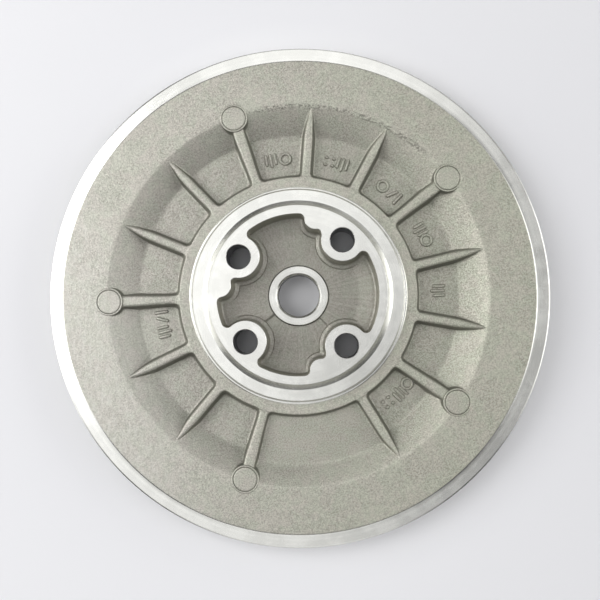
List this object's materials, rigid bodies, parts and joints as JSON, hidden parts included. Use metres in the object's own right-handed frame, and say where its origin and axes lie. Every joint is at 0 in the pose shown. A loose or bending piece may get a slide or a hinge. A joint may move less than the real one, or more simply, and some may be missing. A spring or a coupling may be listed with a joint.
{
  "type": "turbocharger compressor back plate",
  "caption": "Round die-cast back plate with a ribbed dish, a machined clamping rim, and a pilot ring with bolt holes round a sleeved seal bore.",
  "frame": {"origin": "on the bore's axis, in the plane of the diffuser face that the plate rests on", "axes": "+Z along the bore, from the compressor side towards the bearing housing side; the wide pocket between the ribs lies towards -Y"},
  "size_m": [0.18, 0.18, 0.0165],
  "materials": {
    "cast_aluminium": "as-cast skin with bright turned faces",
    "sleeve_steel": "turned",
    "seal_rubber": "matte moulded"
  },
  "bodies": {
    "root": {"back_plate": "cast_aluminium", "bore_sleeve": "sleeve_steel", "rim_seal_ring": "seal_rubber"}
  },
  "joints": []
}
